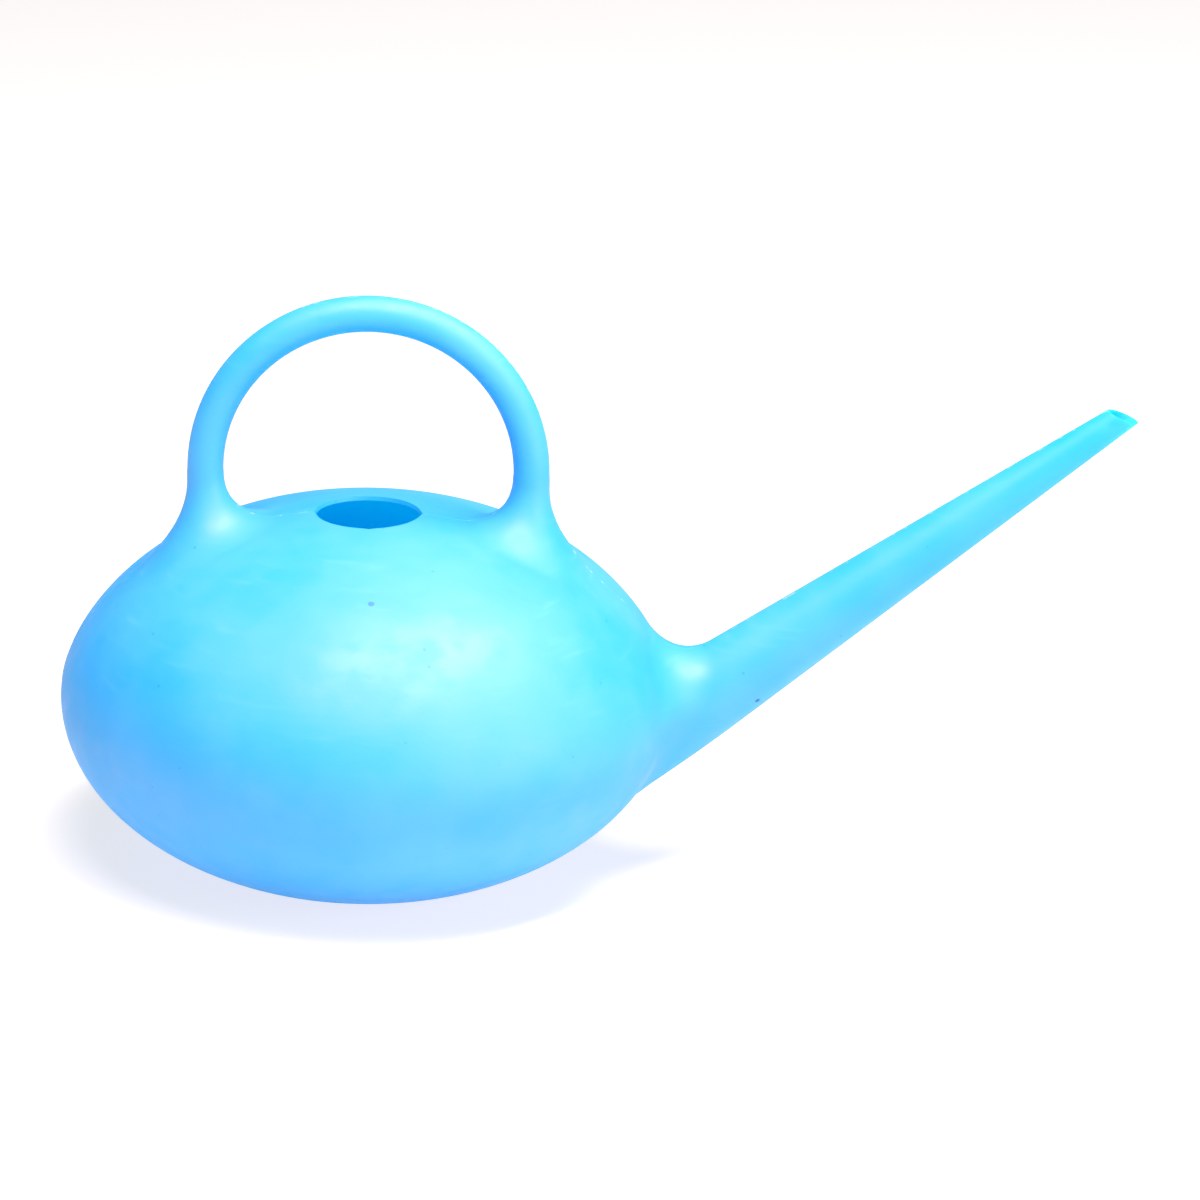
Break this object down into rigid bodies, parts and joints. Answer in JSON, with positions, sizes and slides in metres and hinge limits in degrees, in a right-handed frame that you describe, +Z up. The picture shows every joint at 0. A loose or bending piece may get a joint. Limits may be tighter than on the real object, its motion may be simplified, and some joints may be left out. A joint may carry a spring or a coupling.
{
  "type": "watering can",
  "caption": "Squat ellipsoid watering can with a tall round hoop handle over an open fill hole and a long straight tapering spout, cut obliquely at its tip.",
  "frame": {"origin": "centre of the flat base, on the surface that the can stands on", "axes": "+X towards the spout, +Y across the can, +Z up; the spout and the hoop handle lie in the XZ plane"},
  "size_m": [0.3837, 0.22, 0.2104],
  "materials": {
    "body_plastic": "satin sky-blue polyethylene, slightly translucent",
    "handle_plastic": "satin sky-blue polyethylene, slightly translucent",
    "spout_plastic": "satin sky-blue polyethylene, thinner and more translucent towards the tip"
  },
  "bodies": {
    "root": {"reservoir": "body_plastic", "handle": "handle_plastic", "spout": "spout_plastic"}
  },
  "joints": []
}
